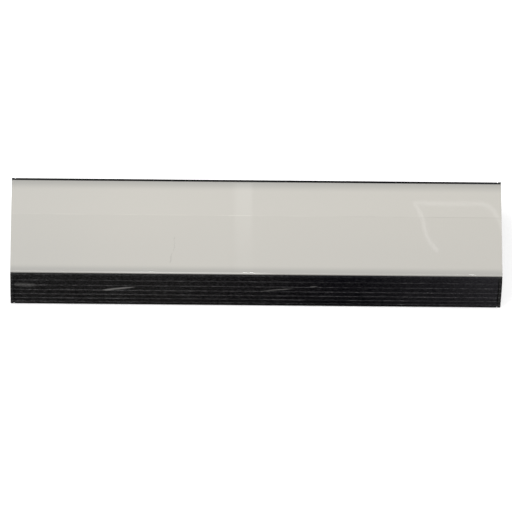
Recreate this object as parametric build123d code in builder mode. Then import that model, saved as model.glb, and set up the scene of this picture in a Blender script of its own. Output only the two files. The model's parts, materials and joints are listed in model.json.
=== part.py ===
"""Stage LED strip batten, half a metre long, lying on its back with its opal face up.

A black ribbed aluminium extrusion carries three LED strips on a tray under an opal diffuser that
runs to both ends. A service panel in the far side holds the sockets and the menu. Two hanging
brackets slide in a T-slot along the back and fold flat into it.

X runs along the batten, Y across it from the near side to the far side, Z up out of the face.
The origin is the middle of the back. All sizes are in millimetres. A name that ends in _X, _Y or
_Z and holds a pair is a stretch between two limits along that axis, unless its comment says so.
"""

from build123d import *
import math
import os

# ---- body ----------------------------------------------------------------------------------------
LENGTH = 500.0  # over the end caps
LIP_TOP = 58.5  # height of the body's lips above the back
FACE_TOP = 60.0  # height of the opal face, proud of the lips
LIP_OUTER = 57.4  # half width over the lips, and at the back edge
LIP_INNER = 55.1  # half width between the lips
WALL_INNER = 54.3  # half width inside, below the face
BOW = 2.5  # how far each side bulges at mid height

RIB_COUNT = 6  # ribs on each side, evenly spaced along the bow
RIB_RADIUS = 0.75
EDGE_RADIUS = 2.0  # back edges
LIP_RADIUS = 0.6

CAP_THICKNESS = 3.0
GASKET_THICKNESS = 1.0
CAP_INNER = LENGTH / 2 - CAP_THICKNESS  # where each end cap starts
BODY_HALF = CAP_INNER - GASKET_THICKNESS  # half length of the extrusion

FLOOR_THICKNESS = 3.0  # the extrusion's back wall
LEDGE_REACH = 50.0  # half width between the ledges
TRAY_LEDGE_Z = (36.0, 38.0)  # the ledge under the tray
FACE_LEDGE_Z = (47.0, 49.0)  # the ledge under the diffuser
CORNER_WEB = (4.0, 7.0)  # width and top of the thickening along each back corner

RECESS_HALF = 22.0  # the open channel along the back
RECESS_DEPTH = 12.0
RECESS_WALL = 2.5
SLOT_HALF = 9.0  # mouth of the T-slot in the channel's ceiling
UNDERCUT_HALF = 18.0
UNDERCUT_Z = (14.5, 20.0)
T_BLOCK_HALF = 20.0  # outside of the T-slot's walls
T_BLOCK_TOP = 22.0

PORT_CENTRES = ((51.5, 6.0), (51.5, 33.0))  # screw ports as (y, z), mirrored to the near side
PORT_RADIUS = 3.4
PORT_BORE = 1.9

# ---- ends ----------------------------------------------------------------------------------------
GASKET_Z = (0.8, 48.5)  # its middle, inside the walls
GASKET_OVERLAP = 1.0  # how far the middle reaches over each wall
GASKET_INSET = 0.5  # how far its sides stay behind the lips' outside
GASKET_WINDOW = ((-44.0, 44.0), (24.0, 44.0))  # its opening across and up
END_HOLE = (2.2, 4.0)  # radii of a cap's countersunk hole
END_SCREW = (1.85, 1.9, 3.7, 1.8, 0.2, 16.0)  # as countersunk_screw takes them

# ---- face ----------------------------------------------------------------------------------------
SEAL_HEIGHT = 1.5
SEAL_INSET = (0.2, 1.0)  # from the wall, and in from the ledge's edge
LEG_FOOT = FACE_LEDGE_Z[1] + SEAL_HEIGHT  # where the diffuser's legs stand
DIFFUSER_HALF = 54.9
DIFFUSER_WALL = 3.0
DIFFUSER_CORNER = 2.2
END_CHAMFER = 0.4
DIE_LINE_Y = 13.8  # place of a fine die line that runs along the face
DIE_LINE = (0.3, 0.05)  # its half width and depth
SNAP_Z = 53.5  # height of the bead that the diffuser snaps over
SNAP_OUT = 0.1  # how far the bead's axis lies inside the lip
SNAP_BEAD = 0.8
SNAP_GROOVE = 1.1

# ---- light engine --------------------------------------------------------------------------------
TRAY_FLOOR = 2.5
TRAY_WALL = 2.2
TRAY_HALF = 54.0
TRAY_TOP = 46.8
TRAY_LENGTH = 490.0
LEAD_EXIT = (240.0, -42.0)  # where the LED lead comes up through the tray
LEAD_EXIT_RADIUS = 3.2

BOARD_SIZE = (470.0, 32.0, 1.6)
BOARD_PITCH = 34.0
BOARD_ROWS = {"near": -1, "middle": 0, "far": 1}
BOARD_BASE = TRAY_LEDGE_Z[1] + TRAY_FLOOR
BOARD_TOP = BOARD_BASE + BOARD_SIZE[2]
LED_SIZE = (5.0, 5.0, 1.6)
LED_WELL = (1.9, 0.3)  # radius and depth of the phosphor's well
LED_PITCH = 12.2
LEDS_PER_BOARD = 38
BOARD_SCREW_X = [step * LED_PITCH for step in (-18, -9, 0, 9, 18)]
BOARD_SCREW_HEAD = (2.8, 1.6)
BOARD_SCREW_SHANK = (1.45, 4.2)
BOARD_SCREW_HOLE = 1.7
TRAY_SCREW_HOLE = 1.5
JUMPER_X = 228.0  # distance of the jumpers from the middle
JUMPER_SIZE = (6.0, 9.0, 1.8)
REFLECTOR_Y = (44.0, 49.8)
REFLECTOR_SHEET = 0.8
REFLECTOR_GAP = 0.3  # under the diffuser

# ---- power supply --------------------------------------------------------------------------------
SUPPLY_X = (-130.0, 110.0)
SUPPLY_Y = (-46.0, -26.0)
SUPPLY_Z = (FLOOR_THICKNESS, 31.0)
SUPPLY_SHEET = 1.2
SUPPLY_FOOT = (9.0, 14.0, 1.5)  # length, width and thickness of a foot
SUPPLY_FOOT_HOLE = 2.0
SUPPLY_LEAD = (-36.0, 18.0)  # (y, z) of the leads at its ends
SUPPLY_LEAD_HOLE = 2.8
SUPPLY_VENTS = (12.0, 8.0, 14, 2)  # pitch and count along and across the lid
SUPPLY_VENT_RADIUS = 2.0
CIRCUIT_LIFT = 3.0  # of the circuit board over the case's floor
CIRCUIT_THICKNESS = 1.6
CIRCUIT_STAND_X = (-90.0, 70.0)  # places of its two stands
TRANSFORMER_X = (-60.0, -34.0)
TRANSFORMER_HEIGHT = 17.4
CHOKE_X = (-12.0, 12.0)
CHOKE_HEIGHT = 15.4
CAPACITOR_X = (-88.0, 40.0, 56.0, 72.0)  # places of the capacitors
CAPACITOR = (6.0, 17.0)  # radius and height

# ---- service panel -------------------------------------------------------------------------------
OUTSIDE = 70.0  # a distance beyond the body, where cuts from outside start
PANEL_HALF = 166.0  # half length of the panel's recess
PANEL_Z = (3.6, 41.0)
PANEL_Y = (56.3, 58.3)
PANEL_INNER, PANEL_OUTER = PANEL_Y
PANEL_CORNER = 1.5
PANEL_GAP = 0.3  # between the panel and its recess
PANEL_CUT_Y = (PANEL_INNER - 1, PANEL_OUTER + 1)  # a cut right through the panel
WINDOW_HALF = 158.0  # half length of the opening behind the panel
WINDOW_Z = (8.0, 36.0)
WINDOW_INNER_Y = 44.0
SERVICE_Z = 22.5  # height of the sockets, display and buttons

PANEL_SCREWS = [(x, z) for x in (-161.5, 161.5) for z in (12.0, 33.0)]
PANEL_SCREWS += [(x, z) for x in (-76.0, 62.0) for z in (6.0, 38.5)]
PANEL_SCREW = (1.0, 1.0, 1.8, 0.8, 0.1, 3.8)
PANEL_SCREW_HOLE = 1.05
PANEL_SINK = (1.2, 2.0)  # radii of the panel's countersunk holes

DISPLAY_X = -24.0  # place of the display
DISPLAY_SIZE = (46.0, 18.0)
DISPLAY_REBATE = (2.0, 0.8)  # width and thickness of the rim that the window rests on
DISPLAY_GAP = 0.1
VENT_X = 78.0  # place of the breather plug
VENT_RADIUS = 4.0
VENT_HEAD = (5.5, 1.6)
VENT_SLOT = (6.5, 0.7, 0.8)

# ---- controls ------------------------------------------------------------------------------------
CONTROL_HALF = 62.0
CONTROL_Y = (46.0, 47.6)
CONTROL_Z = (10.0, 35.0)
DISPLAY_MODULE = (38.0, 13.0)
PROCESSOR = ((-50.0, -30.0), (15.0, 29.0), 2.4)  # limits along X and Z, and height
PLUG_BLOCK = ((34.0, 52.0), (16.0, 29.0), 4.0)
BUTTON_X = (14.0, 26.0, 38.0, 50.0)  # places of the menu buttons
BUTTON_RADIUS = 3.5
BUTTON_PROUD = 1.0
BUTTON_GAP = 0.2
BUTTON_FLANGE = (4.5, 1.2)  # radius and thickness
BUTTON_STEM = 1.8
BUTTON_TRAVEL = 1.0  # gap between a button's stem and its switch
SWITCH_SIZE = 6.0
SWITCH_TOP = 50.2
POST_POINTS = [(x, z) for x in (-57.0, 57.0) for z in (14.0, 31.0)]
POST_RADIUS = 2.7
POST_STUD = 1.5
POST_NUT = 1.6

# ---- sockets -------------------------------------------------------------------------------------
POWER_X = (-140.0, -106.0)  # places of the mains inlet and outlet
DATA_X = (106.0, 140.0)  # places of the data input and output
FLANGE = (26.0, 31.0, 2.0)
FLANGE_CORNER = 2.5
FLANGE_CHAMFER = 0.4
FLANGE_SCREW = (9.5, 12.0)  # offsets of a socket's two screws from its centre
FLANGE_FRONT = PANEL_OUTER + FLANGE[2]
FLANGE_SINK = (1.5, 2.4)
SOCKET_SCREW = (1.25, 1.4, 2.3, 0.9, 0.1, 5.0)
SHELL_RADIUS = 11.8
SHELL_BACK = 34.0

POWER_BORE = (9.2, 14.0)  # radius and depth of a mains socket's mouth
POWER_KEY = (1.6, 8.0, 10.4)  # half width, bottom and top of its keyway over the centre
BLADE_CENTRES = ((0.0, 4.2), (-3.9, -2.4), (3.9, -2.4))
BLADE_SIZE = (1.0, 4.0)
BLADE_SETBACK = 5.0  # of the contacts' tips behind the mouth

DATA_BORE = (9.0, 12.0)
DATA_START_ANGLE = 18
PIN_CIRCLE = 4.6
PIN = (0.9, 8.0)  # radius and length of a data pin
CORE = (7.2, 11.0)  # radius and length of the output's insulating core
CORE_CIRCLE = 4.3
CORE_HOLE = (1.0, 8.0)
LATCH_HALF = 3.2
LATCH_Y = (FLANGE_FRONT - 4.5, FLANGE_FRONT + 0.15)
LATCH_Z = (SERVICE_Z + 9.2, SERVICE_Z + 11.3)
LATCH_EDGE = 0.3
LATCH_POCKET_Y = (FLANGE_FRONT - 7.0, FLANGE_FRONT + 1.0)
LATCH_POCKET_Z = (SERVICE_Z + 8.6, SERVICE_Z + 11.5)
LATCH_POCKET_HALF = 3.4

# ---- leads ---------------------------------------------------------------------------------------
MAINS_LEAD_RADIUS = 2.5
THIN_LEAD_RADIUS = 2.0

# ---- back fittings -------------------------------------------------------------------------------
INSERT_X = 200.0  # M6 rivet nuts in the back, for a fixed mounting: their distance from the middle
INSERT_Y = 40.0
INSERT_BORE = 2.5
INSERT_BODY = (4.45, 10.0)  # radius and length
INSERT_FLANGE = (5.9, 0.9)
INSERT_HOLE = 4.5
INSERT_POCKET = (6.0, 1.0)

CARRIAGE_X = 120.0  # distance of each hanging bracket from the middle
NUT_HALF = (25.0, 17.0)
NUT_Z = (UNDERCUT_Z[0] + 0.3, UNDERCUT_Z[0] + 4.3)
NUT_CORNER = 2.0
NUT_HOLE = 4.0
SADDLE_REACH = (-32.0, 16.0)  # from the clamp screw, out and in
SADDLE_HALF = 20.5
SADDLE_Z = (RECESS_DEPTH - 2.8, RECESS_DEPTH - 0.3)
SADDLE_HOLE = 4.3
EAR_REACH = (-31.0, -19.0)
EAR_Y = (16.0, 18.5)
EAR_FOOT = 1.2
EAR_CORNER = 2.5
HINGE_OFFSET = 25.0  # from the clamp screw out to the hinge pin
HINGE_Z = 5.2  # height of the hinge pin
HINGE_RADIUS = 2.5
HINGE_HALF = 20.0
HINGE_HEAD = 3.4
HINGE_HEAD_Y = (18.9, 20.4)
SADDLE_FIT = 0.02
BAIL_FIT = 0.06
BAIL_THICKNESS = 5.0
BAIL_ARM_Y = (10.5, 14.5)
BAIL_HALF = BAIL_ARM_Y[1]
BAIL_ARM_END = 16.0
BAIL_PLATE = (14.0, 38.0)  # stretch of the plate between the arms, in from the clamp screw
BAIL_CORNER = 9.0
BAIL_EYE = 3.3
HANGER_OFFSET = 26.0  # from the clamp screw in to the hanging hole
HANGER_RADIUS = 6.5
KNOB_Z = (2.2, 8.2)
KNOB_RADIUS = 9.2
KNOB_FLUTES = (10, 10.0, 1.5)  # count, circle and radius
KNOB_COLLAR = (5.0, 0.9)
KNOB_STUD = (3.9, 10.0)
KNOB_SOCKET = (2.5, 1.3)

FIT = 0.05  # gap left round a fastener in its hole
UPRIGHT = (Align.CENTER, Align.CENTER, Align.MIN)

os.makedirs("parts", exist_ok=True)


# ---- helpers -------------------------------------------------------------------------------------
def save(builder, label):
    """Labels a finished piece and writes it as parts/LABEL.step."""
    builder.part.label = label
    export_step(builder.part, f"parts/{label}.step")


def about(centre, size):
    """The (low, high) limits of a stretch of a given size about its centre."""
    return (centre - size / 2, centre + size / 2)


def grow(limits, margin):
    """A stretch made longer by margin at both ends."""
    return (limits[0] - margin, limits[1] + margin)


def block(x, y, z, mode=Mode.ADD):
    """Adds a box to the part being built, from its (low, high) limits along each axis."""
    limits = (x, y, z)
    with Locations(tuple((low + high) / 2 for low, high in limits)):
        Box(*(high - low for low, high in limits), mode=mode)


def rod(x, z, radius, y, mode=Mode.ADD):
    """Adds a round bar along Y between the (low, high) limits y."""
    with Locations(Plane(origin=(x, y[0], z), z_dir=(0, 1, 0))):
        Cylinder(radius, y[1] - y[0], align=UPRIGHT, mode=mode)


def post(x, y, radius, z, mode=Mode.ADD):
    """Adds an upright round bar between the (low, high) limits z."""
    with Locations((x, y, z[0])):
        Cylinder(radius, z[1] - z[0], align=UPRIGHT, mode=mode)


def patch(across, up, mode=Mode.ADD):
    """Adds a rectangle to the sketch being built, from its (low, high) limits."""
    with Locations(((across[0] + across[1]) / 2, (up[0] + up[1]) / 2)):
        Rectangle(across[1] - across[0], up[1] - up[0], mode=mode)


def patch_pair(across, up, mode=Mode.ADD):
    """Adds a rectangle and its mirror image on the near side."""
    patch(across, up, mode)
    patch((-across[1], -across[0]), up, mode)


def countersunk_screw(shank, neck, head, head_height, sink, length):
    """Adds a screw under the current location's XY plane: radii, head height, sink and length.

    Its head lies sink below the plane and has a cross recess.
    """
    with Locations((0, 0, -sink - head_height)):
        Cone(neck, head, head_height, align=UPRIGHT)
    with Locations((0, 0, -length)):
        Cylinder(shank, length - sink - head_height, align=UPRIGHT)
    with Locations((0, 0, -sink - 0.65 * head_height)):
        Box(head, head / 4, head_height, align=UPRIGHT, mode=Mode.SUBTRACT)
        Box(head / 4, head, head_height, align=UPRIGHT, mode=Mode.SUBTRACT)


def bow_point(fraction):
    """A point (y, z) of the far side's bow: 0 is its lip, 1 its back edge."""
    half = LIP_TOP / 2
    radius = (half**2 + BOW**2) / (2 * BOW)
    angle = math.asin(half / radius) * (1 - 2 * fraction)
    return (LIP_OUTER + BOW - radius + radius * math.cos(angle), half + radius * math.sin(angle))


def outline(top):
    """The body's section, solid up to a height between the lips: flat back, bowed ribbed sides."""
    far_top, far_middle, far_back = bow_point(0), bow_point(0.5), bow_point(1)
    near_top, near_middle, near_back = ((-y, z) for y, z in (far_top, far_middle, far_back))
    with BuildSketch() as section:
        with BuildLine():
            Line(near_back, far_back)
            ThreePointArc(far_back, far_middle, far_top)
            Line(far_top, near_top)
            ThreePointArc(near_top, near_middle, near_back)
        make_face()
        fillet(section.vertices().group_by(Axis.Y)[0], EDGE_RADIUS)
        centres = [bow_point(k / (RIB_COUNT + 1)) for k in range(1, RIB_COUNT + 1)]
        with Locations(*centres, *((-y, z) for y, z in centres)):
            Circle(RIB_RADIUS)
        patch((-LIP_INNER, LIP_INNER), (top, LIP_TOP + 1), mode=Mode.SUBTRACT)
    return section.sketch


def port_points():
    """The four screw ports, as (y, z)."""
    return [(side * y, z) for y, z in PORT_CENTRES for side in (-1, 1)]


def snap_points():
    """The axes of the two snap beads, as (y, z)."""
    return [(side * (LIP_INNER + SNAP_OUT), SNAP_Z) for side in (-1, 1)]


def insert_points():
    """The four rivet nuts, as (x, y)."""
    return [(x, y) for x in (-INSERT_X, INSERT_X) for y in (-INSERT_Y, INSERT_Y)]


def flange_screw_points(x):
    """The two screws of the socket at x, as (x, z)."""
    across, up = FLANGE_SCREW
    return [(x + turn * across, SERVICE_Z + turn * up) for turn in (-1, 1)]


def tube(points, radii, radius):
    """Sweeps a round lead along straight runs joined by tangent arcs."""
    with BuildPart() as lead:
        with BuildLine() as route:
            FilletPolyline(*points, radius=radii)
        with BuildSketch(Plane(origin=route.line @ 0, z_dir=route.line % 0)):
            Circle(radius)
        sweep(path=route.line)
    return lead


# ---- body and ends -------------------------------------------------------------------------------
def make_housing():
    """The ribbed extrusion, with its ledges, screw ports and back channel, and its machining."""
    with BuildPart() as housing:
        with BuildSketch(Plane.YZ) as profile:
            add(outline(FACE_LEDGE_Z[1]))
            patch((-WALL_INNER, WALL_INNER), (FLOOR_THICKNESS, FACE_LEDGE_Z[1]), mode=Mode.SUBTRACT)
            patch_pair((LEDGE_REACH, WALL_INNER), TRAY_LEDGE_Z)
            patch_pair((LEDGE_REACH, WALL_INNER), FACE_LEDGE_Z)
            with Locations(*snap_points()):
                Circle(SNAP_BEAD)
            with Locations(*port_points()):
                Circle(PORT_RADIUS)
            patch_pair((WALL_INNER - CORNER_WEB[0], WALL_INNER), (FLOOR_THICKNESS, CORNER_WEB[1]))
            patch((-RECESS_HALF - RECESS_WALL, RECESS_HALF + RECESS_WALL), (0, UNDERCUT_Z[0]))
            patch((-T_BLOCK_HALF, T_BLOCK_HALF), (UNDERCUT_Z[0], T_BLOCK_TOP))
            patch((-RECESS_HALF, RECESS_HALF), (-1, RECESS_DEPTH), mode=Mode.SUBTRACT)
            patch((-SLOT_HALF, SLOT_HALF), (RECESS_DEPTH - 1, UNDERCUT_Z[0]), mode=Mode.SUBTRACT)
            patch((-UNDERCUT_HALF, UNDERCUT_HALF), UNDERCUT_Z, mode=Mode.SUBTRACT)
            with Locations(*port_points()):
                Circle(PORT_BORE, mode=Mode.SUBTRACT)
            lips = profile.vertices().group_by(Axis.Y)[-1]
            fillet(lips, LIP_RADIUS)
        extrude(amount=BODY_HALF, both=True)

        window_x = (-WINDOW_HALF, WINDOW_HALF)
        inner_space_z = (FLOOR_THICKNESS, TRAY_LEDGE_Z[0])
        block((-PANEL_HALF, PANEL_HALF), (PANEL_INNER, OUTSIDE), PANEL_Z, Mode.SUBTRACT)
        block(window_x, (WINDOW_INNER_Y, OUTSIDE), WINDOW_Z, Mode.SUBTRACT)
        block(window_x, (WINDOW_INNER_Y, WALL_INNER), inner_space_z, Mode.SUBTRACT)
        for x, z in PANEL_SCREWS:
            rod(x, z, PANEL_SCREW_HOLE, (PANEL_OUTER - PANEL_SCREW[-1] - 2, OUTSIDE), Mode.SUBTRACT)
        for x, y in insert_points():
            post(x, y, INSERT_HOLE, (-1, FLOOR_THICKNESS + 1), Mode.SUBTRACT)
            post(x, y, INSERT_POCKET[0], (-1, INSERT_POCKET[1]), Mode.SUBTRACT)
    save(housing, "housing")


def make_end(side, name):
    """One end: gasket, end cap with countersunk screws, and the opal piece that closes the face."""
    reach = WALL_INNER + GASKET_OVERLAP
    with BuildPart() as gasket:
        with BuildSketch(Plane.YZ.offset(side * BODY_HALF)):
            patch((-reach, reach), GASKET_Z)
            patch_pair((LIP_INNER, LIP_OUTER - GASKET_INSET), (EDGE_RADIUS, LIP_TOP - GASKET_INSET))
            patch(*GASKET_WINDOW, mode=Mode.SUBTRACT)
            with Locations(*port_points()):
                Circle(END_HOLE[0], mode=Mode.SUBTRACT)
        extrude(amount=side * GASKET_THICKNESS)
    save(gasket, f"end_gasket_{name}")

    screw_planes = [Plane(origin=(side * LENGTH / 2, y, z), z_dir=(side, 0, 0)) for y, z in port_points()]
    with BuildPart() as cap:
        with BuildSketch(Plane.YZ.offset(side * CAP_INNER)):
            add(outline(LEG_FOOT))
        extrude(amount=side * CAP_THICKNESS)
        with Locations(*screw_planes):
            CounterSinkHole(*END_HOLE, depth=CAP_THICKNESS, counter_sink_angle=90)
    save(cap, f"end_cap_{name}")

    with BuildPart() as screws:
        for plane in screw_planes:
            with Locations(plane):
                countersunk_screw(*END_SCREW)
    save(screws, f"end_cap_screws_{name}")

    with BuildPart() as opal:
        with BuildSketch(Plane.YZ.offset(side * CAP_INNER)) as section:
            patch((-DIFFUSER_HALF, DIFFUSER_HALF), (LEG_FOOT, FACE_TOP))
            fillet(section.vertices().group_by(Axis.Y)[-1], DIFFUSER_CORNER)
        extrude(amount=side * CAP_THICKNESS)
        end_face = opal.faces().filter_by(Axis.X).sort_by(Axis.X)[0 if side < 0 else -1]
        chamfer(end_face.outer_wire().edges(), END_CHAMFER)
    save(opal, f"diffuser_end_{name}")


# ---- face ----------------------------------------------------------------------------------------
def make_diffuser():
    """The opal cover: a shallow channel whose legs snap over a bead in each wall."""
    inner = DIFFUSER_HALF - DIFFUSER_WALL
    half, depth = DIE_LINE
    with BuildPart() as diffuser:
        with BuildSketch(Plane.YZ) as section:
            patch((-DIFFUSER_HALF, DIFFUSER_HALF), (LEG_FOOT, FACE_TOP))
            fillet(section.vertices().group_by(Axis.Y)[-1], DIFFUSER_CORNER)
            patch((-inner, inner), (LEG_FOOT - 1, FACE_TOP - DIFFUSER_WALL), mode=Mode.SUBTRACT)
            with Locations(*snap_points()):
                Circle(SNAP_GROOVE, mode=Mode.SUBTRACT)
            with BuildLine():
                Polyline(
                    (DIE_LINE_Y - half, FACE_TOP),
                    (DIE_LINE_Y, FACE_TOP - depth),
                    (DIE_LINE_Y + half, FACE_TOP),
                    close=True,
                )
            make_face(mode=Mode.SUBTRACT)
        extrude(amount=CAP_INNER, both=True)
    save(diffuser, "diffuser")

    from_wall, from_edge = SEAL_INSET
    seal_y = (LEDGE_REACH + from_edge, LIP_INNER - from_wall)
    with BuildPart() as seals:
        with BuildSketch(Plane.YZ):
            patch_pair(seal_y, (FACE_LEDGE_Z[1], LEG_FOOT))
        extrude(amount=BODY_HALF, both=True)
    save(seals, "diffuser_seals")


# ---- light engine --------------------------------------------------------------------------------
def make_tray():
    """The aluminium tray that slides in between the ledges and carries the LED boards."""
    through_z = (TRAY_LEDGE_Z[1] - 1, BOARD_TOP)
    with BuildPart() as tray:
        with BuildSketch(Plane.YZ):
            patch((-TRAY_HALF, TRAY_HALF), (TRAY_LEDGE_Z[1], BOARD_BASE))
            patch_pair((TRAY_HALF - TRAY_WALL, TRAY_HALF), (TRAY_LEDGE_Z[1], TRAY_TOP))
        extrude(amount=TRAY_LENGTH / 2, both=True)
        for row in BOARD_ROWS.values():
            for x in BOARD_SCREW_X:
                post(x, row * BOARD_PITCH, TRAY_SCREW_HOLE, through_z, Mode.SUBTRACT)
        post(*LEAD_EXIT, LEAD_EXIT_RADIUS, through_z, Mode.SUBTRACT)
    save(tray, "led_tray")


def make_board(row, name):
    """One LED strip: a narrow circuit board, and its LEDs as separate packages."""
    y = row * BOARD_PITCH
    board_z = (BOARD_BASE, BOARD_TOP)
    with BuildPart() as board:
        block(about(0, BOARD_SIZE[0]), about(y, BOARD_SIZE[1]), board_z)
        for x in BOARD_SCREW_X:
            post(x, y, BOARD_SCREW_HOLE, grow(board_z, 1), Mode.SUBTRACT)
    save(board, f"led_board_{name}")

    well_radius, well_depth = LED_WELL
    with BuildPart() as leds:
        with Locations((0, y, BOARD_TOP)):
            with GridLocations(LED_PITCH, 1, LEDS_PER_BOARD, 1):
                Box(*LED_SIZE, align=UPRIGHT)
                with Locations((0, 0, LED_SIZE[2] - well_depth)):
                    Cylinder(well_radius, well_depth, align=UPRIGHT, mode=Mode.SUBTRACT)
    save(leds, f"leds_{name}")


def make_light_fittings():
    """Screws and jumpers of the LED boards, and the white reflectors along both sides."""
    head_radius, head_height = BOARD_SCREW_HEAD
    shank_radius, shank_length = BOARD_SCREW_SHANK
    with BuildPart() as screws:
        for row in BOARD_ROWS.values():
            for x in BOARD_SCREW_X:
                y = row * BOARD_PITCH
                post(x, y, head_radius, (BOARD_TOP, BOARD_TOP + head_height))
                post(x, y, shank_radius, (BOARD_TOP - shank_length, BOARD_TOP))
    save(screws, "board_screws")

    with BuildPart() as jumpers:
        with Locations(*((x, y, BOARD_TOP) for x in (-JUMPER_X, JUMPER_X) for y in about(0, BOARD_PITCH))):
            Box(*JUMPER_SIZE, align=UPRIGHT)
    save(jumpers, "board_jumpers")

    top = FACE_TOP - DIFFUSER_WALL - REFLECTOR_GAP
    foot_edge, outer = REFLECTOR_Y
    for side, name in ((-1, "near"), (1, "far")):
        with BuildPart() as reflector:
            with BuildSketch(Plane.YZ):
                patch(sorted((side * (outer - REFLECTOR_SHEET), side * outer)), (BOARD_TOP, top))
                foot = sorted((side * foot_edge, side * outer))
                patch(foot, (BOARD_TOP, BOARD_TOP + REFLECTOR_SHEET))
            extrude(amount=BOARD_SIZE[0] / 2, both=True)
        save(reflector, f"reflector_{name}")


# ---- power supply --------------------------------------------------------------------------------
def make_power_supply():
    """The slim mains driver in the near compartment: sheet case, lid and circuit board."""
    (x0, x1), (y0, y1), (z0, z1) = SUPPLY_X, SUPPLY_Y, SUPPLY_Z
    middle_y = (y0 + y1) / 2
    inside_x, inside_y = grow(SUPPLY_X, -SUPPLY_SHEET), grow(SUPPLY_Y, -SUPPLY_SHEET)
    floor = z0 + SUPPLY_SHEET
    lid_base = z1 - SUPPLY_SHEET
    foot_length, foot_width, foot_thickness = SUPPLY_FOOT
    with BuildPart() as case:
        block(SUPPLY_X, SUPPLY_Y, (z0, lid_base))
        block(inside_x, inside_y, (floor, z1), Mode.SUBTRACT)
        for x in (x0 - foot_length / 2, x1 + foot_length / 2):
            block(about(x, foot_length), about(middle_y, foot_width), (z0, z0 + foot_thickness))
            post(x, middle_y, SUPPLY_FOOT_HOLE, (z0 - 1, floor + 1), Mode.SUBTRACT)
        lead_planes = [Plane(origin=(x, *SUPPLY_LEAD), z_dir=(1, 0, 0)) for x in SUPPLY_X]
        with Locations(*lead_planes):
            Cylinder(SUPPLY_LEAD_HOLE, 3 * SUPPLY_SHEET, mode=Mode.SUBTRACT)
    save(case, "power_supply_case")

    with BuildPart() as lid:
        block(SUPPLY_X, SUPPLY_Y, (lid_base, z1))
        with Locations(((x0 + x1) / 2, middle_y, lid_base)):
            with GridLocations(*SUPPLY_VENTS):
                Cylinder(SUPPLY_VENT_RADIUS, 3 * SUPPLY_SHEET, mode=Mode.SUBTRACT)
    save(lid, "power_supply_lid")

    board_base = floor + CIRCUIT_LIFT
    board_top = board_base + CIRCUIT_THICKNESS
    inner_y = grow(inside_y, -1)
    with BuildPart() as circuit:
        block(grow(inside_x, -5), grow(inside_y, -0.4), (board_base, board_top))
        for x in CIRCUIT_STAND_X:
            block(about(x, 6), grow(inner_y, -2), (floor, board_base))
        block(TRANSFORMER_X, inner_y, (board_top, board_top + TRANSFORMER_HEIGHT))
        block(CHOKE_X, inner_y, (board_top, board_top + CHOKE_HEIGHT))
        for x in CAPACITOR_X:
            post(x, middle_y, CAPACITOR[0], (board_top, board_top + CAPACITOR[1]))
    save(circuit, "power_supply_circuit")


# ---- service panel -------------------------------------------------------------------------------
def make_panel():
    """The service panel, with a cut-out for everything that it carries."""
    width, height = DISPLAY_SIZE
    rim, rim_thickness = DISPLAY_REBATE
    window_x, window_z = about(DISPLAY_X, width), about(SERVICE_Z, height)
    rebate_y = (PANEL_INNER + rim_thickness, PANEL_OUTER)
    screw_planes = [Plane(origin=(x, PANEL_OUTER, z), z_dir=(0, 1, 0)) for x, z in PANEL_SCREWS]
    with BuildPart() as panel:
        block((-PANEL_HALF + PANEL_GAP, PANEL_HALF - PANEL_GAP), PANEL_Y, grow(PANEL_Z, -PANEL_GAP))
        fillet(panel.edges().filter_by(Axis.Y), PANEL_CORNER)
        for x in POWER_X + DATA_X:
            rod(x, SERVICE_Z, SHELL_RADIUS + BUTTON_GAP, PANEL_CUT_Y, Mode.SUBTRACT)
            for screw_x, screw_z in flange_screw_points(x):
                rod(screw_x, screw_z, SOCKET_SCREW[0] + FIT, PANEL_CUT_Y, Mode.SUBTRACT)
        for x in BUTTON_X:
            rod(x, SERVICE_Z, BUTTON_RADIUS + BUTTON_GAP, PANEL_CUT_Y, Mode.SUBTRACT)
        rod(VENT_X, SERVICE_Z, VENT_RADIUS + FIT, PANEL_CUT_Y, Mode.SUBTRACT)
        block(window_x, (rebate_y[0], OUTSIDE), window_z, Mode.SUBTRACT)
        block(grow(window_x, -rim), PANEL_CUT_Y, grow(window_z, -rim), Mode.SUBTRACT)
        with Locations(*screw_planes):
            CounterSinkHole(*PANEL_SINK, depth=4, counter_sink_angle=90)
    save(panel, "service_panel")

    with BuildPart() as window:
        block(grow(window_x, -DISPLAY_GAP), rebate_y, grow(window_z, -DISPLAY_GAP))
    save(window, "display_window")

    with BuildPart() as screws:
        for plane in screw_planes:
            with Locations(plane):
                countersunk_screw(*PANEL_SCREW)
    save(screws, "panel_screws")

    head_radius, head_height = VENT_HEAD
    with BuildPart() as vent:
        rod(VENT_X, SERVICE_Z, VENT_RADIUS, (PANEL_INNER - 3, PANEL_OUTER))
        with BuildSketch(Plane(origin=(VENT_X, PANEL_OUTER, SERVICE_Z), z_dir=(0, 1, 0))):
            RegularPolygon(head_radius, 6)
        extrude(amount=head_height)
        with Locations(Plane(origin=(VENT_X, PANEL_OUTER + head_height, SERVICE_Z), z_dir=(0, 1, 0))):
            for turn in range(3):
                with Locations(Rotation(0, 0, 60 * turn)):
                    Box(*VENT_SLOT, mode=Mode.SUBTRACT)
    save(vent, "vent_plug")


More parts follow.
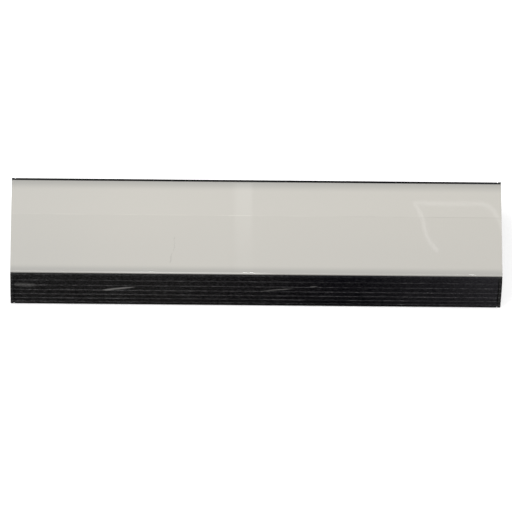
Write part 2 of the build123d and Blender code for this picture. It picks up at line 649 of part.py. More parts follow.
# ---- controls ------------------------------------------------------------------------------------
def make_controls():
    """The control board behind the panel, its display, switches and posts, and the four buttons."""
    board_back, board_front = CONTROL_Y
    with BuildPart() as board:
        block((-CONTROL_HALF, CONTROL_HALF), CONTROL_Y, CONTROL_Z)
        for x in BUTTON_X:
            block(about(x, SWITCH_SIZE), (board_front, SWITCH_TOP), about(SERVICE_Z, SWITCH_SIZE))
        for chip_x, chip_z, height in (PROCESSOR, PLUG_BLOCK):
            block(chip_x, (board_back - height, board_back), chip_z)
        for x, z in POST_POINTS:
            rod(x, z, POST_STUD + 2 * FIT, grow(CONTROL_Y, 1), Mode.SUBTRACT)
    save(board, "control_board")

    with BuildPart() as display:
        module_x, module_z = about(DISPLAY_X, DISPLAY_MODULE[0]), about(SERVICE_Z, DISPLAY_MODULE[1])
        block(module_x, (board_front, PANEL_INNER - 0.5), module_z)
    save(display, "display_module")

    with BuildPart() as posts:
        for x, z in POST_POINTS:
            with BuildSketch(Plane(origin=(x, board_front, z), z_dir=(0, 1, 0))):
                RegularPolygon(POST_RADIUS, 6)
            extrude(amount=PANEL_INNER - board_front)
            rod(x, z, POST_STUD, (board_back - POST_NUT - 0.2, board_front))
            rod(x, z, POST_RADIUS, (board_back - POST_NUT, board_back))
    save(posts, "board_posts")

    flange_radius, flange_thickness = BUTTON_FLANGE
    cap_base = PANEL_INNER - 0.5
    flange_base = cap_base + FIT * 2 - flange_thickness
    for number, x in enumerate(BUTTON_X, start=1):
        with BuildPart() as button:
            rod(x, SERVICE_Z, BUTTON_STEM, (SWITCH_TOP + BUTTON_TRAVEL, cap_base))
            rod(x, SERVICE_Z, flange_radius, (flange_base, cap_base + FIT * 2))
            rod(x, SERVICE_Z, BUTTON_RADIUS, (cap_base, PANEL_OUTER + BUTTON_PROUD))
            crown = button.faces().sort_by(Axis.Y)[-1]
            fillet(crown.edges(), 0.5)
        save(button, f"menu_button_{number}")


# ---- sockets -------------------------------------------------------------------------------------
def socket_shell(x, bore, pocket=None):
    """A chassis socket: square flange on the panel, round shell behind it and a mouth in front.

    bore is the mouth's radius and depth, and pocket the limits of a cut in its wall.
    """
    radius, depth = bore
    with BuildPart() as shell:
        block(about(x, FLANGE[0]), (PANEL_OUTER, FLANGE_FRONT), about(SERVICE_Z, FLANGE[1]))
        fillet(shell.edges().filter_by(Axis.Y), FLANGE_CORNER)
        chamfer(shell.faces().sort_by(Axis.Y)[-1].edges(), FLANGE_CHAMFER)
        rod(x, SERVICE_Z, SHELL_RADIUS, (SHELL_BACK, PANEL_OUTER))
        rod(x, SERVICE_Z, radius, (FLANGE_FRONT - depth, OUTSIDE), Mode.SUBTRACT)
        for screw_x, screw_z in flange_screw_points(x):
            with Locations(Plane(origin=(screw_x, FLANGE_FRONT, screw_z), z_dir=(0, 1, 0))):
                CounterSinkHole(*FLANGE_SINK, depth=4, counter_sink_angle=90)
        if pocket:
            block(*pocket, Mode.SUBTRACT)
    return shell


def make_power_sockets():
    """The mains inlet and outlet with their keyways, and the contacts in both."""
    key_half, key_low, key_high = POWER_KEY
    power_floor = FLANGE_FRONT - POWER_BORE[1]
    for x, name in zip(POWER_X, ("power_inlet", "power_outlet")):
        key_z = (SERVICE_Z + key_low, SERVICE_Z + key_high)
        keyway = (about(x, 2 * key_half), (power_floor, FLANGE_FRONT + 1), key_z)
        save(socket_shell(x, POWER_BORE, keyway), name)

    width, height = BLADE_SIZE
    with BuildPart() as blades:
        for x in POWER_X:
            for across, up in BLADE_CENTRES:
                blade_y = (power_floor, FLANGE_FRONT - BLADE_SETBACK)
                block(about(x + across, width), blade_y, about(SERVICE_Z + up, height))
    save(blades, "power_contacts")


def make_data_sockets():
    """The data input with its pins, and the output with its core and latch."""
    input_x, output_x = DATA_X
    data_floor = FLANGE_FRONT - DATA_BORE[1]
    save(socket_shell(input_x, DATA_BORE), "data_input")
    with BuildPart() as pins:
        with Locations(Plane(origin=(input_x, data_floor, SERVICE_Z), z_dir=(0, 1, 0))):
            with PolarLocations(PIN_CIRCLE, 5, start_angle=DATA_START_ANGLE):
                Cylinder(*PIN, align=UPRIGHT)
    save(pins, "data_input_pins")

    pocket = (about(output_x, 2 * LATCH_POCKET_HALF), LATCH_POCKET_Y, LATCH_POCKET_Z)
    save(socket_shell(output_x, DATA_BORE, pocket), "data_output")
    core_radius, core_length = CORE
    with BuildPart() as core:
        rod(output_x, SERVICE_Z, core_radius, (data_floor, data_floor + core_length))
        core_face = Plane(origin=(output_x, data_floor + core_length, SERVICE_Z), z_dir=(0, 1, 0))
        with Locations(core_face):
            with PolarLocations(CORE_CIRCLE, 5, start_angle=DATA_START_ANGLE):
                Hole(CORE_HOLE[0], depth=CORE_HOLE[1])
    save(core, "data_output_insert")
    with BuildPart() as latch:
        block(about(output_x, 2 * LATCH_HALF), LATCH_Y, LATCH_Z)
        fillet(latch.faces().sort_by(Axis.Y)[-1].edges(), LATCH_EDGE)
    save(latch, "data_output_latch")


def make_socket_screws():
    """Two screws for each of the four sockets."""
    with BuildPart() as screws:
        for x in POWER_X + DATA_X:
            for screw_x, screw_z in flange_screw_points(x):
                with Locations(Plane(origin=(screw_x, FLANGE_FRONT, screw_z), z_dir=(0, 1, 0))):
                    countersunk_screw(*SOCKET_SCREW)
    save(screws, "socket_screws")


# ---- internal leads ------------------------------------------------------------------------------
def make_leads():
    """The leads inside the body, from socket to supply, supply to boards and sockets to controls."""
    lead_y, lead_z = SUPPLY_LEAD
    inlet_x = POWER_X[0]
    mains = tube(
        (
            (inlet_x, SHELL_BACK, SERVICE_Z),
            (inlet_x, 27.5, SERVICE_Z),
            (inlet_x - 3, 18, 28),
            (inlet_x - 12, -18, 28),
            (inlet_x - 16, lead_y, 25),
            (inlet_x - 6, lead_y, lead_z),
            (SUPPLY_X[0] + 3, lead_y, lead_z),
        ),
        (4, 6, 10, 6, 5),
        MAINS_LEAD_RADIUS,
    )
    save(mains, "mains_lead")

    exit_x, exit_y = LEAD_EXIT
    led = tube(
        (
            (SUPPLY_X[1] - 3, lead_y, lead_z),
            (150, lead_y, lead_z),
            (200, -40, 22),
            (exit_x, exit_y, 30),
            (exit_x, exit_y, 48),
            (exit_x - 10, exit_y, 48),
            (exit_x - 10, exit_y, BOARD_TOP),
        ),
        (20, 20, 8, 3, 3),
        THIN_LEAD_RADIUS,
    )
    save(led, "led_lead")

    input_x = DATA_X[0]
    plug_x = 45
    data = tube(
        (
            (input_x, SHELL_BACK, SERVICE_Z),
            (input_x, 27, SERVICE_Z),
            (input_x - 16, 27, SERVICE_Z),
            (60, 30, SERVICE_Z),
            (plug_x, 33, SERVICE_Z),
            (plug_x, CONTROL_Y[0] - PLUG_BLOCK[2], SERVICE_Z),
        ),
        (4, 10, 10, 5),
        THIN_LEAD_RADIUS,
    )
    save(data, "data_lead")


# ---- back fittings -------------------------------------------------------------------------------
def make_inserts():
    """Four M6 rivet nuts in the back wall."""
    body_radius, body_length = INSERT_BODY
    flange_radius, flange_height = INSERT_FLANGE
    with BuildPart() as inserts:
        for x, y in insert_points():
            post(x, y, flange_radius, (0, flange_height))
            post(x, y, body_radius, (0, body_length))
            post(x, y, INSERT_BORE, grow((0, body_length), 1), Mode.SUBTRACT)
    save(inserts, "mounting_inserts")


def make_hanger(side, name):
    """One hanging bracket: T-nut, saddle with ears, hinge pin, folding bail and clamp knob.

    side is -1 for the left bracket and 1 for the right one. Each bail folds towards the middle.
    """
    centre = side * CARRIAGE_X
    inward = -side

    def along(*offsets):
        """Limits along X of a stretch measured from the clamp screw towards the middle."""
        return tuple(sorted(centre + inward * offset for offset in offsets))

    hinge_x = centre - inward * HINGE_OFFSET
    right_through = (-OUTSIDE, OUTSIDE)
    nut_length, nut_width = NUT_HALF
    with BuildPart() as nut:
        block(along(-nut_length, nut_length), (-nut_width, nut_width), NUT_Z)
        fillet(nut.edges().filter_by(Axis.Z), NUT_CORNER)
        post(centre, 0, NUT_HOLE, grow(NUT_Z, 1), Mode.SUBTRACT)
    save(nut, f"hanger_nut_{name}")

    ear_inner, ear_outer = EAR_Y
    with BuildPart() as saddle:
        block(along(*SADDLE_REACH), (-SADDLE_HALF, SADDLE_HALF), SADDLE_Z)
        for ear_y in ((-ear_outer, -ear_inner), EAR_Y):
            block(along(*EAR_REACH), ear_y, (EAR_FOOT, SADDLE_Z[0]))
        fillet(saddle.edges().filter_by(Axis.Y).group_by(Axis.Z)[0], EAR_CORNER)
        post(centre, 0, SADDLE_HOLE, grow(SADDLE_Z, 1), Mode.SUBTRACT)
        rod(hinge_x, HINGE_Z, HINGE_RADIUS + SADDLE_FIT, right_through, Mode.SUBTRACT)
    save(saddle, f"hanger_saddle_{name}")

    head_inner, head_outer = HINGE_HEAD_Y
    with BuildPart() as pin:
        rod(hinge_x, HINGE_Z, HINGE_RADIUS, (-HINGE_HALF, HINGE_HALF))
        for head_y in ((-head_outer, -head_inner), HINGE_HEAD_Y):
            rod(hinge_x, HINGE_Z, HINGE_HEAD, head_y)
    save(pin, f"hanger_pin_{name}")

    bail_z = about(HINGE_Z, BAIL_THICKNESS)
    arm_inner, arm_outer = BAIL_ARM_Y
    arms = ((-arm_outer, -arm_inner), BAIL_ARM_Y)
    with BuildPart() as bail:
        for arm_y in arms:
            block(along(-HINGE_OFFSET, BAIL_ARM_END), arm_y, bail_z)
        block(along(*BAIL_PLATE), (-BAIL_HALF, BAIL_HALF), bail_z)
        free_end = bail.edges().filter_by(Axis.Z).group_by(Axis.X)[-1 if inward > 0 else 0]
        fillet(free_end, BAIL_CORNER)
        for arm_y in arms:
            rod(hinge_x, HINGE_Z, BAIL_EYE, arm_y)
        rod(hinge_x, HINGE_Z, HINGE_RADIUS + BAIL_FIT, right_through, Mode.SUBTRACT)
        post(centre + inward * HANGER_OFFSET, 0, HANGER_RADIUS, grow(bail_z, 1), Mode.SUBTRACT)
    save(bail, f"hanger_bail_{name}")

    knob_base, knob_top = KNOB_Z
    flute_count, flute_circle, flute_radius = KNOB_FLUTES
    collar_radius, collar_height = KNOB_COLLAR
    stud_radius, stud_length = KNOB_STUD
    socket_radius, socket_depth = KNOB_SOCKET
    with BuildPart() as knob:
        with BuildSketch(Plane.XY.offset(knob_base)):
            with Locations((centre, 0)):
                Circle(KNOB_RADIUS)
                with PolarLocations(flute_circle, flute_count):
                    Circle(flute_radius, mode=Mode.SUBTRACT)
        extrude(amount=knob_top - knob_base)
        post(centre, 0, collar_radius, (knob_top, knob_top + collar_height))
        post(centre, 0, stud_radius, (knob_top, knob_top + stud_length))
        post(centre, 0, socket_radius, (0, knob_base + socket_depth), Mode.SUBTRACT)
    save(knob, f"hanger_knob_{name}")


# ---- the whole batten ----------------------------------------------------------------------------
make_housing()
for end_side, end_name in ((-1, "left"), (1, "right")):
    make_end(end_side, end_name)
    make_hanger(end_side, end_name)
make_diffuser()
make_tray()
for board_name, board_row in BOARD_ROWS.items():
    make_board(board_row, board_name)
make_light_fittings()
make_power_supply()
make_panel()
make_controls()
make_power_sockets()
make_data_sockets()
make_socket_screws()
make_leads()
make_inserts()
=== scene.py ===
"""Looks of the LED strip batten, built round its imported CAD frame: materials, floor, light, camera.

Node trees work in millimetres, from object coordinates, so a pattern stays on its piece.
"""

import json
import math

import bpy
from mathutils import Euler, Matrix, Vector


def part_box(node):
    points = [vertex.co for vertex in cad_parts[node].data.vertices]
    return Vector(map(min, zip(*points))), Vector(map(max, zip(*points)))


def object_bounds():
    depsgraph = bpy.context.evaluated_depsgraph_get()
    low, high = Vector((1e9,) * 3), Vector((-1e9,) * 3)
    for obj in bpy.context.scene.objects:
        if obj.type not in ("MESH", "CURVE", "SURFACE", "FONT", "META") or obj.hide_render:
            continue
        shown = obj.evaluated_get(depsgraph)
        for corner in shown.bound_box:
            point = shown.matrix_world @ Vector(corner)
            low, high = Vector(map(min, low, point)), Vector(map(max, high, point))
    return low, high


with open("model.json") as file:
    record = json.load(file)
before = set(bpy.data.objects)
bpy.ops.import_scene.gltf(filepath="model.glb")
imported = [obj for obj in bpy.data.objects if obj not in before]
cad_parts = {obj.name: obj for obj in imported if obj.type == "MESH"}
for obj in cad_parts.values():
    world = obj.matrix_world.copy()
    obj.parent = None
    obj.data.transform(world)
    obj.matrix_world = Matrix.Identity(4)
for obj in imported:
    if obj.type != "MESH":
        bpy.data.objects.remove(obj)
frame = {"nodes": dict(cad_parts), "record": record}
cad_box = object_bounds()

# ---- places on the batten, in millimetres --------------------------------------------------------
FACE_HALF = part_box("diffuser")[1].y * 1000
LIP_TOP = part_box("housing")[1].z * 1000
BOW = 2.5  # bulge of each side at mid height
LIP_OUTER = 57.4  # from the middle to the outside of each lip
DIE_LINE_Y = 13.8
BOW_RADIUS = ((LIP_TOP / 2) ** 2 + BOW**2) / (2 * BOW)
BOW_CENTRE = LIP_OUTER + BOW - BOW_RADIUS  # distance of the bow's axis from the middle
GRAIN_MIDDLE = 0.49  # the middle of the black finish's grain noise, which swings less on the far side
SCUFFS = (  # on the near side: centre (x, z), half length, half width, tilt in degrees, strength
    ((-140.0, 36.3), 20.0, 1.7, 9.5, 1.0),
    ((22.0, 36.4), 19.0, 1.2, 8.5, 0.55),
    ((-236.0, 41.5), 17.0, 4.2, -3.0, 0.32),
    ((58.5, 43.0), 5.0, 0.9, 6.0, 0.5),
)


# ---- node helpers --------------------------------------------------------------------------------
class Tree:
    """Builds one material's node tree round a Principled shader."""

    def __init__(self, name):
        self.material = bpy.data.materials.new(name)
        self.material.use_nodes = True
        self.tree = self.material.node_tree
        self.shader = self.tree.nodes["Principled BSDF"]
        coordinates = self.node("ShaderNodeTexCoord").outputs["Object"]
        scaled = self.node("ShaderNodeVectorMath", coordinates, operation="SCALE")
        scaled.inputs["Scale"].default_value = 1000
        self.place = scaled.outputs["Vector"]
        split = self.node("ShaderNodeSeparateXYZ", self.place)
        self.x, self.y, self.z = split.outputs

    def plug(self, value, socket):
        """Links a socket, or sets a plain value."""
        if isinstance(value, bpy.types.NodeSocket):
            self.tree.links.new(value, socket)
        else:
            socket.default_value = value

    def node(self, kind, *inputs, **settings):
        """Adds a node, with its settings and its first inputs."""
        made = self.tree.nodes.new(kind)
        for name, value in settings.items():
            setattr(made, name, value)
        for value, socket in zip(inputs, made.inputs):
            self.plug(value, socket)
        return made

    def sum(self, operation, *values):
        """One step of arithmetic."""
        return self.node("ShaderNodeMath", *values, operation=operation).outputs[0]

    def ramp(self, value, low, high, start=0.0, end=1.0):
        """A smooth step from start to end as value goes from low to high."""
        made = self.node("ShaderNodeMapRange", value, low, high, start, end)
        made.interpolation_type = "SMOOTHSTEP"
        return made.outputs[0]

    def bump_over(self, value, centre, half, soft):
        """1 near centre, falling smoothly to 0 at half + soft away from it."""
        away = self.sum("ABSOLUTE", self.sum("SUBTRACT", value, centre))
        return self.ramp(away, half, half + soft, 1.0, 0.0)

    def noise(self, scale, detail=3.0, roughness=0.5, stretch=(1, 1, 1), offset=0.0):
        """Noise with scale features per millimetre, drawn out along an axis by stretch."""
        mapped = self.node("ShaderNodeMapping", self.place)
        mapped.inputs["Location"].default_value = (offset, offset * 0.7, -offset)
        mapped.inputs["Scale"].default_value = tuple(scale / s for s in stretch)
        made = self.node("ShaderNodeTexNoise", mapped.outputs[0])
        made.inputs["Scale"].default_value = 1.0
        made.inputs["Detail"].default_value = detail
        made.inputs["Roughness"].default_value = roughness
        return made.outputs["Fac"]

    def mix(self, share, first, second):
        """Mixes two colours: share 0 is all first, share 1 is all second."""
        made = self.node("ShaderNodeMix", data_type="RGBA")
        self.plug(share, made.inputs["Factor"])
        for name, value in (("A", first), ("B", second)):
            socket = [s for s in made.inputs if s.name == name and s.type == "RGBA"][0]
            self.plug(value if isinstance(value, bpy.types.NodeSocket) else (*value, 1), socket)
        return [s for s in made.outputs if s.type == "RGBA"][0]

    def gradient(self, value, *stops):
        """Colours along value: stops are (place, colour) pairs, from the lowest place to the highest."""
        low, high = stops[0][0], stops[-1][0]
        share = self.node("ShaderNodeMapRange", value, low, high, 0.0, 1.0).outputs[0]
        made = self.node("ShaderNodeValToRGB", share)
        made.color_ramp.interpolation = "EASE"
        elements = made.color_ramp.elements
        while len(elements) < len(stops):
            elements.new(0.5)
        for element, (place, colour) in zip(elements, stops):
            element.position = (place - low) / (high - low)
            element.color = (*colour, 1)
        return made.outputs["Color"]

    def lens(self, centre, half_length, half_width, tilt, axes):
        """A soft lens-shaped patch on a flat side: centre and tilt are in the plane of axes."""
        across = self.sum("SUBTRACT", axes[0], centre[0])
        up = self.sum("SUBTRACT", axes[1], centre[1])
        lengthwise = self.sum(
            "ADD",
            self.sum("MULTIPLY", across, math.cos(tilt) / half_length),
            self.sum("MULTIPLY", up, math.sin(tilt) / half_length),
        )
        crosswise = self.sum(
            "SUBTRACT",
            self.sum("MULTIPLY", up, math.cos(tilt) / half_width),
            self.sum("MULTIPLY", across, math.sin(tilt) / half_width),
        )
        square = self.sum("ADD", self.sum("POWER", lengthwise, 2.0), self.sum("POWER", crosswise, 2.0))
        return self.ramp(square, 0.2, 1.0, 1.0, 0.0)

    def finish(self, colour, roughness, height=None, strength=0.3, depth=0.05, **values):
        """Plugs the results into the shader. height is in steps of depth millimetres."""
        self.plug(colour, self.shader.inputs["Base Color"])
        self.plug(roughness, self.shader.inputs["Roughness"])
        if height is not None:
            bump = self.node("ShaderNodeBump")
            bump.inputs["Strength"].default_value = strength
            bump.inputs["Distance"].default_value = depth / 1000
            self.plug(height, bump.inputs["Height"])
            self.tree.links.new(bump.outputs[0], self.shader.inputs["Normal"])
        for name, value in values.items():
            self.plug(value, self.shader.inputs[name.replace("_", " ")])
        return self.material


# ---- materials -----------------------------------------------------------------------------------
def opal_material():
    """Glossy opal acrylic: painted shade towards its near side and over its long edges, a fine die line
    with painted highlight, shade and a glint on it, dust, a scratch and a painted highlight along the near
    edge.
    """
    t = Tree("opal")
    along = t.gradient(
        t.x,
        (-250, (0.446, 0.434, 0.402)),
        (-110, (0.463, 0.448, 0.412)),
        (250, (0.450, 0.435, 0.399)),
    )
    clouds = t.noise(0.012, detail=2.0, stretch=(1.6, 1, 1))
    body = t.mix(t.ramp(clouds, 0.3, 0.7, 0.0, 0.06), along, (0.385, 0.380, 0.360))
    beyond_line = t.ramp(t.y, DIE_LINE_Y - 0.4, DIE_LINE_Y + 0.4, 0.0, 0.04)
    body = t.mix(beyond_line, body, (0.78, 0.755, 0.70))
    # Painted shade: the face darkens towards its near side.
    near_side_shade = t.ramp(t.y, 12.0, -42.0, 0.0, 0.16)
    body = t.mix(near_side_shade, body, (0.37, 0.365, 0.350))
    line = t.bump_over(t.y, DIE_LINE_Y, 0.12, 0.25)
    # Painted highlight and shade on the die line: lighter along the left part, darker towards the right.
    line_highlight_and_shade = t.gradient(
        t.x,
        (-250, (0.56, 0.545, 0.50)),
        (50, (0.56, 0.545, 0.50)),
        (110, (0.36, 0.35, 0.32)),
        (250, (0.33, 0.32, 0.29)),
    )
    line_share_and_glint = t.ramp(t.noise(0.03, detail=2.0, offset=15.0), 0.40, 0.60, 0.10, 0.60)
    # Painted glint on the die line where the bright strip is mirrored, around x = -17 mm.
    line_share_and_glint = t.sum("MAXIMUM", line_share_and_glint, t.bump_over(t.x, -17.0, 10.0, 5.0))
    body = t.mix(t.sum("MULTIPLY", line, line_share_and_glint), body, line_highlight_and_shade)
    # Painted shade over both long edges of the face.
    far_edge_shade = t.ramp(t.y, FACE_HALF - 13.0, FACE_HALF - 1.0, 0.0, 0.60)
    near_edge_shade = t.ramp(t.y, 10.0 - FACE_HALF, 2.0 - FACE_HALF, 0.0, 0.50)
    body = t.mix(t.sum("MAXIMUM", far_edge_shade, near_edge_shade), body, (0.26, 0.26, 0.248))
    specks = t.ramp(t.noise(0.55, detail=1.0, offset=31.0), 0.80, 0.84, 0.0, 0.5)
    body = t.mix(specks, body, (0.26, 0.25, 0.235))
    wobble = t.ramp(t.noise(0.22, detail=3.0, roughness=0.7, offset=40.0), 0.35, 0.65, -0.9, 0.9)
    scratch_x = t.sum("ADD", t.ramp(t.y, -50.0, -22.0, -89.0, -83.6), wobble)
    skipping = t.ramp(t.noise(0.5, detail=2.0, offset=44.0), 0.40, 0.55, 0.15, 1.0)
    scratch = t.sum("MULTIPLY", t.bump_over(t.x, scratch_x, 0.12, 0.35), t.bump_over(t.y, -28.0, 14.0, 3.0))
    scratch = t.sum("MULTIPLY", scratch, skipping)
    body = t.mix(t.sum("MULTIPLY", scratch, 0.3), body, (0.16, 0.15, 0.14))
    # Painted highlight along the rounded near edge, strongest from x = -110 to 0 mm.
    painted_edge_highlight = t.sum("MULTIPLY", t.ramp(t.x, -200.0, -110.0, 0.2, 0.5), t.ramp(t.x, -2.0, 25.0, 1.0, 0.3))
    painted_edge_highlight = t.sum("MULTIPLY", painted_edge_highlight, t.bump_over(t.y, 0.6 - FACE_HALF, 0.25, 0.4))
    body = t.mix(painted_edge_highlight, body, (0.66, 0.65, 0.62))
    smears = t.noise(0.02, detail=5.0, roughness=0.6, stretch=(3, 1, 1), offset=7.0)
    hairlines = t.noise(0.9, detail=2.0, stretch=(60, 1, 1), offset=3.0)
    gloss = t.sum("ADD", t.ramp(smears, 0.35, 0.7, 0.03, 0.05), t.ramp(hairlines, 0.5, 0.8, 0.0, 0.02))
    height = t.sum("SUBTRACT", hairlines, t.sum("MULTIPLY", scratch, 3.0))
    return t.finish(body, gloss, height, strength=0.02, depth=0.01, IOR=1.49)


def rib_tops_worn_and_lit(t):
    """How far the tops of the ribs of the bowed sides are paler, in short broken stretches: partly worn
    bare, partly a painted highlight where the ridges catch the light.
    """
    sideways = t.sum("SUBTRACT", t.sum("ABSOLUTE", t.y), BOW_CENTRE)
    upward = t.sum("SUBTRACT", t.z, LIP_TOP / 2)
    square = t.sum("ADD", t.sum("POWER", sideways, 2.0), t.sum("POWER", upward, 2.0))
    top = t.ramp(t.sum("SUBTRACT", t.sum("SQRT", square), BOW_RADIUS), 0.2, 0.7)
    stretches = t.ramp(t.noise(0.08, detail=3.0, stretch=(3, 1, 1), offset=12.0), 0.35, 0.65, 0.3, 1.0)
    stretches = t.sum("MULTIPLY", stretches, t.ramp(t.z, 40.0, 46.0, 1.0, 0.4))
    specks = t.noise(1.0, detail=3.0, roughness=0.8, stretch=(2, 1, 1), offset=18.0)
    return t.sum("MULTIPLY", t.sum("MULTIPLY", top, stretches), t.ramp(specks, 0.47, 0.62))


def anodised_material():
    """Black anodised extrusion: painted sheen varying along its length, drawing lines, grain with dust in
    it, rib tops partly worn and partly painted highlight, near side scuffs.
    """
    t = Tree("black_anodised")
    # Painted sheen: the black is made lighter or darker along its length where its sheen varies.
    body = t.gradient(
        t.x,
        (-250, (0.0058, 0.0057, 0.0056)),
        (-110, (0.0064, 0.0060, 0.0058)),
        (0, (0.0030, 0.0026, 0.0034)),
        (95, (0.0010, 0.0009, 0.0026)),
        (175, (0.0062, 0.0058, 0.0075)),
        (250, (0.0142, 0.0137, 0.0160)),
    )
    drawn = t.noise(1.3, detail=3.0, roughness=0.6, stretch=(90, 1, 1))
    body = t.mix(t.ramp(drawn, 0.35, 0.75, 0.0, 0.35), body, (0.013, 0.012, 0.013))
    # Rib tops: partly worn paler, partly painted highlight.
    body = t.mix(rib_tops_worn_and_lit(t), body, (0.118, 0.115, 0.118))
    grain = t.noise(0.7, detail=3.0, roughness=0.85, stretch=(1.9, 1, 1), offset=5.0)
    swing = t.sum("SUBTRACT", grain, GRAIN_MIDDLE)
    calmed = t.sum("MULTIPLY", swing, t.ramp(t.y, 40.0, -40.0, 0.2, 1.0))
    grain = t.sum("ADD", calmed, GRAIN_MIDDLE)
    # Dust in the grain, thinned to the right of x = -20 mm along with the painted darker sheen there.
    dust = t.sum("MULTIPLY", t.ramp(grain, 0.50, 0.72, 0.0, 0.42), t.ramp(t.x, -20.0, 60.0, 1.0, 0.6))
    body = t.mix(dust, body, (0.080, 0.077, 0.081))
    near = t.ramp(t.y, -50.0, -52.0)
    marks = 0.0
    for centre, half_length, half_width, tilt, strength in SCUFFS:
        mark = t.lens(centre, half_length, half_width, math.radians(tilt), (t.x, t.z))
        marks = t.sum("MAXIMUM", marks, t.sum("MULTIPLY", mark, strength))
    marks = t.sum("MULTIPLY", t.sum("MULTIPLY", marks, near), t.ramp(drawn, 0.2, 0.6, 0.6, 1.0))
    body = t.mix(marks, body, (0.135, 0.132, 0.128))
    gloss = t.sum("ADD", t.ramp(drawn, 0.3, 0.7, 0.36, 0.50), t.sum("MULTIPLY", dust, 0.2))
    sheen = t.sum("MULTIPLY", t.ramp(t.x, 0.0, 60.0, 0.17, 0.10), t.ramp(grain, 0.38, 0.60, 0.2, 1.6))
    return t.finish(body, gloss, drawn, strength=0.25, depth=0.03, Specular_IOR_Level=sheen)


def coated_material():
    """Satin black powder coat with a fine orange peel and a few pale nicks."""
    t = Tree("black_coated")
    peel = t.noise(1.1, detail=3.0, roughness=0.6)
    cloud = t.noise(0.03, detail=3.0, offset=9.0)
    body = t.mix(t.ramp(cloud, 0.3, 0.7), (0.0110, 0.0108, 0.0112), (0.0170, 0.0165, 0.0165))
    nicks = t.ramp(t.noise(0.5, detail=6.0, roughness=0.8, offset=21.0), 0.72, 0.76, 0.0, 0.5)
    body = t.mix(nicks, body, (0.11, 0.105, 0.10))
    # Rib tops of the end caps: partly worn paler, partly painted highlight.
    body = t.mix(rib_tops_worn_and_lit(t), body, (0.105, 0.101, 0.098))
    gloss = t.ramp(peel, 0.3, 0.7, 0.36, 0.52)
    return t.finish(body, gloss, peel, strength=0.30, depth=0.04, Specular_IOR_Level=0.28)


def moulded_material(name, colour, rough=0.45, grain=2.2, specular=0.4):
    """Moulded plastic or rubber: fine spark texture, faint flow clouds and pale worn high spots."""
    t = Tree(name)
    spark = t.noise(grain, detail=2.0, roughness=0.6)
    cloud = t.noise(0.05, detail=2.0, offset=4.0)
    darker = tuple(0.82 * c for c in colour)
    lighter = tuple(min(1.0, 1.12 * c + 0.002) for c in colour)
    body = t.mix(t.ramp(cloud, 0.3, 0.7), darker, lighter)
    body = t.mix(t.ramp(spark, 0.62, 0.8, 0.0, 0.12), body, (0.5, 0.49, 0.47))
    gloss = t.ramp(spark, 0.3, 0.7, rough - 0.06, rough + 0.10)
    return t.finish(body, gloss, spark, strength=0.25, depth=0.03, Specular_IOR_Level=specular)


def metal_material(name, colour, rough=0.3, stretch=(12, 1, 1), metallic=1.0):
    """Bare or plated metal: brushed along one way, with stains and slightly varied gloss."""
    t = Tree(name)
    brushed = t.noise(1.8, detail=3.0, roughness=0.65, stretch=stretch)
    stain = t.noise(0.08, detail=4.0, roughness=0.6, offset=17.0)
    darker = tuple(0.72 * c for c in colour)
    body = t.mix(t.ramp(brushed, 0.3, 0.7, 0.0, 0.35), colour, darker)
    body = t.mix(t.ramp(stain, 0.45, 0.75, 0.0, 0.35), body, tuple(0.6 * c for c in colour))
    gloss = t.ramp(brushed, 0.3, 0.7, rough - 0.05, rough + 0.08)
    gloss = t.sum("ADD", gloss, t.ramp(stain, 0.5, 0.8, 0.0, 0.12))
    return t.finish(body, gloss, brushed, strength=0.15, depth=0.02, Metallic=metallic)


def circuit_material(name, mask_colour, pad_colour):
    """Circuit board: solder mask over a faint weave, with tracks and pads showing through."""
    t = Tree(name)
    tracks = t.node("ShaderNodeTexBrick", t.place)
    tracks.inputs["Scale"].default_value = 0.22
    tracks.inputs["Mortar Size"].default_value = 0.03
    weave = t.noise(1.4, detail=2.0)
    body = t.mix(t.ramp(weave, 0.3, 0.7, 0.0, 0.25), mask_colour, tuple(0.75 * c for c in mask_colour))
    body = t.mix(t.sum("MULTIPLY", tracks.outputs["Fac"], 0.35), body, pad_colour)
    return t.finish(body, t.ramp(weave, 0.3, 0.7, 0.28, 0.42), weave, strength=0.1, depth=0.02)


def window_material():
    """Smoked clear window with faint wiping marks."""
    t = Tree("window_glass")
    wipes = t.noise(0.12, detail=4.0, stretch=(4, 1, 1))
    body = t.mix(t.ramp(wipes, 0.3, 0.7), (0.030, 0.034, 0.038), (0.045, 0.050, 0.056))
    return t.finish(body, t.ramp(wipes, 0.3, 0.7, 0.04, 0.14), wipes, strength=0.03, depth=0.02)


